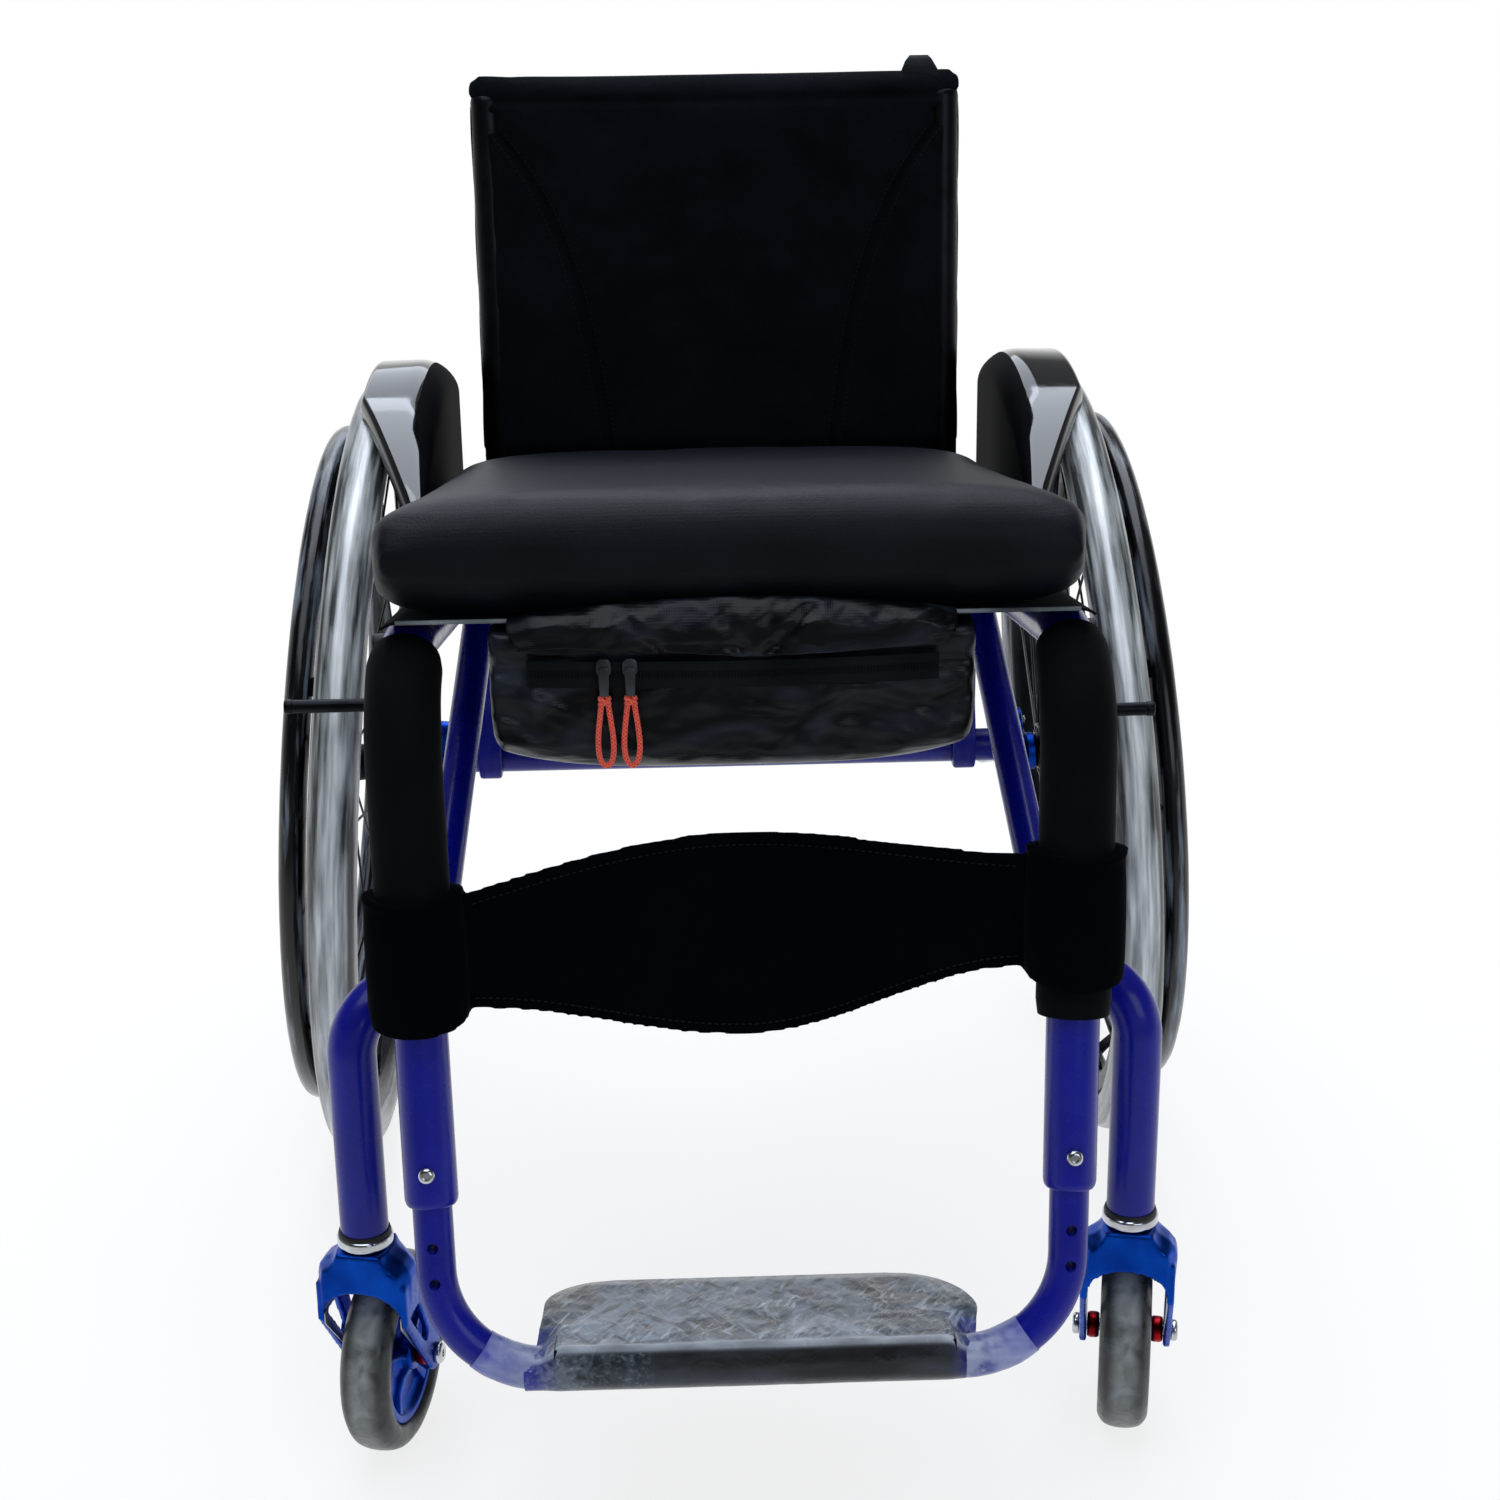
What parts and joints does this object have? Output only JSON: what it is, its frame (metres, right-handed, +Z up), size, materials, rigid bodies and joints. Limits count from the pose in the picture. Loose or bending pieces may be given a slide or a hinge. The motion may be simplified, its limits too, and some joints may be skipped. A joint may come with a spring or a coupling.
{
  "type": "active wheelchair",
  "caption": "Rigid-frame active wheelchair with cambered spoked wheels, swivel casters, fold-down back, cushion, calf strap and pouch.",
  "frame": {"origin": "middle of the footprint, on the floor", "axes": "+X to the occupant's left, -Y forward (the way the occupant faces), +Z up"},
  "size_m": [0.6716, 0.923, 0.8312],
  "materials": {
    "gloss_blue_paint": "gloss royal blue powder coat",
    "blue_anodised": "bright blue anodised",
    "polished_steel": "polished",
    "black_alloy": "satin black anodised",
    "gloss_black": "gloss black",
    "grey_tyre": "matt grey",
    "black_fabric": "black knitted spacer fabric",
    "black_foam": "closed-cell foam with a smooth skin",
    "coated_nylon": "coated woven nylon",
    "orange_cord": "braided cord"
  },
  "bodies": {
    "frame": {"axle_pin_left": "polished_steel", "axle_pin_right": "polished_steel", "axle_post_left": "gloss_blue_paint", "axle_post_right": "gloss_blue_paint", "axle_receiver_left": "blue_anodised", "axle_receiver_right": "blue_anodised", "back_bracket_left": "black_alloy", "back_bracket_right": "black_alloy", "brake_mount_left": "black_alloy", "brake_mount_right": "black_alloy", "calf_strap": "black_fabric", "camber_tube": "gloss_blue_paint", "caster_frame_left": "gloss_blue_paint", "caster_frame_right": "gloss_blue_paint", "foam_cover_left": "black_foam", "foam_cover_right": "black_foam", "footplate": "black_alloy", "footrest_bolt_left": "polished_steel", "footrest_bolt_right": "polished_steel", "footrest_tube": "gloss_blue_paint", "pouch": "coated_nylon", "seat_cross_tube": "gloss_blue_paint", "seat_cushion": "black_fabric", "seat_sling": "coated_nylon", "side_guard_left": "gloss_black", "side_guard_right": "gloss_black", "side_tube_left": "gloss_blue_paint", "side_tube_right": "gloss_blue_paint", "stem_ring_left": "polished_steel", "stem_ring_right": "polished_steel"},
    "back": {"back_post_left": "black_alloy", "back_post_right": "black_alloy", "back_cross_bar": "black_alloy", "back_upholstery": "black_fabric"},
    "rear_wheel_left": {"rear_tyre_left": "grey_tyre", "rear_rim_left": "black_alloy", "rear_hub_left": "black_alloy", "handrim_left": "gloss_black"},
    "axle_button_left": {"axle_button_left": "black_alloy"},
    "caster_fork_left": {"fork_left": "blue_anodised", "caster_axle_left": "polished_steel"},
    "caster_wheel_left": {"caster_tyre_left": "grey_tyre", "caster_hub_left": "blue_anodised"},
    "brake_lever_left": {"brake_lever_left": "black_alloy"},
    "brake_bar_left": {"brake_bar_left": "black_alloy"},
    "rear_wheel_right": {"rear_tyre_right": "grey_tyre", "rear_rim_right": "black_alloy", "rear_hub_right": "black_alloy", "handrim_right": "gloss_black"},
    "axle_button_right": {"axle_button_right": "black_alloy"},
    "caster_fork_right": {"fork_right": "blue_anodised", "caster_axle_right": "polished_steel"},
    "caster_wheel_right": {"caster_tyre_right": "grey_tyre", "caster_hub_right": "blue_anodised"},
    "brake_lever_right": {"brake_lever_right": "black_alloy"},
    "brake_bar_right": {"brake_bar_right": "black_alloy"},
    "zip_slider_a": {"zip_slider_a": "polished_steel", "zip_pull_a": "orange_cord"},
    "zip_slider_b": {"zip_slider_b": "polished_steel", "zip_pull_b": "orange_cord"}
  },
  "joints": [
    {"name": "back_fold", "type": "hinge", "parent": "frame", "child": "back", "pos_m": [0, 0.17852, 0.5], "axis": [1, 0, 0], "range_deg": [0, 66], "deforming": ["seat_cushion"]},
    {"name": "rear_wheel_left_spin", "type": "hinge", "parent": "frame", "child": "rear_wheel_left", "pos_m": [0.277, 0.15652, 0.30426], "axis": [0.9976, 0, 0.0698], "continuous": true},
    {"name": "axle_button_left_press", "type": "slide", "parent": "frame", "child": "axle_button_left", "axis": [-0.9976, 0, -0.0698], "range_m": [0, 0.003], "stiffness_N_per_m": 400, "springref_m": -0.004},
    {"name": "caster_left_swivel", "type": "hinge", "parent": "frame", "child": "caster_fork_left", "pos_m": [0.237, -0.34448, 0.1593], "axis": [0, 0, 1], "continuous": true},
    {"name": "caster_wheel_left_spin", "type": "hinge", "parent": "caster_fork_left", "child": "caster_wheel_left", "pos_m": [0.24349, -0.3111, 0.0635], "axis": [0.9816, -0.1908, 0], "continuous": true},
    {"name": "brake_lever_left_pull", "type": "hinge", "parent": "frame", "child": "brake_lever_left", "pos_m": [0.21208, -0.12648, 0.505], "axis": [1, 0, 0], "range_deg": [0, 60]},
    {"name": "brake_bar_left_swing", "type": "hinge", "parent": "frame", "child": "brake_bar_left", "pos_m": [0.21688, -0.11148, 0.49201], "axis": [1, 0, 0], "range_deg": [0, 11]},
    {"name": "rear_wheel_right_spin", "type": "hinge", "parent": "frame", "child": "rear_wheel_right", "pos_m": [-0.277, 0.15652, 0.30426], "axis": [0.9976, 0, -0.0698], "continuous": true},
    {"name": "axle_button_right_press", "type": "slide", "parent": "frame", "child": "axle_button_right", "axis": [0.9976, 0, -0.0698], "range_m": [0, 0.003], "stiffness_N_per_m": 400, "springref_m": -0.004},
    {"name": "caster_right_swivel", "type": "hinge", "parent": "frame", "child": "caster_fork_right", "pos_m": [-0.237, -0.34448, 0.1593], "axis": [0, 0, 1], "continuous": true},
    {"name": "caster_wheel_right_spin", "type": "hinge", "parent": "caster_fork_right", "child": "caster_wheel_right", "pos_m": [-0.22964, -0.31128, 0.0635], "axis": [0.9763, -0.2164, 0], "continuous": true},
    {"name": "brake_lever_right_pull", "type": "hinge", "parent": "frame", "child": "brake_lever_right", "pos_m": [-0.21208, -0.12648, 0.505], "axis": [1, 0, 0], "range_deg": [0, 60]},
    {"name": "brake_bar_right_swing", "type": "hinge", "parent": "frame", "child": "brake_bar_right", "pos_m": [-0.21688, -0.11148, 0.49201], "axis": [1, 0, 0], "range_deg": [0, 14]},
    {"name": "zip_slider_a_slide", "type": "slide", "parent": "frame", "child": "zip_slider_a", "axis": [1, 0, 0], "range_m": [-0.05, 0]},
    {"name": "zip_slider_b_slide", "type": "slide", "parent": "frame", "child": "zip_slider_b", "axis": [1, 0, 0], "range_m": [0, 0.18]}
  ],
  "couplings": [
    {"joint": "brake_bar_left_swing", "follows": "brake_lever_left_pull", "ratio": 0.18332},
    {"joint": "brake_bar_right_swing", "follows": "brake_lever_right_pull", "ratio": 0.23332}
  ]
}
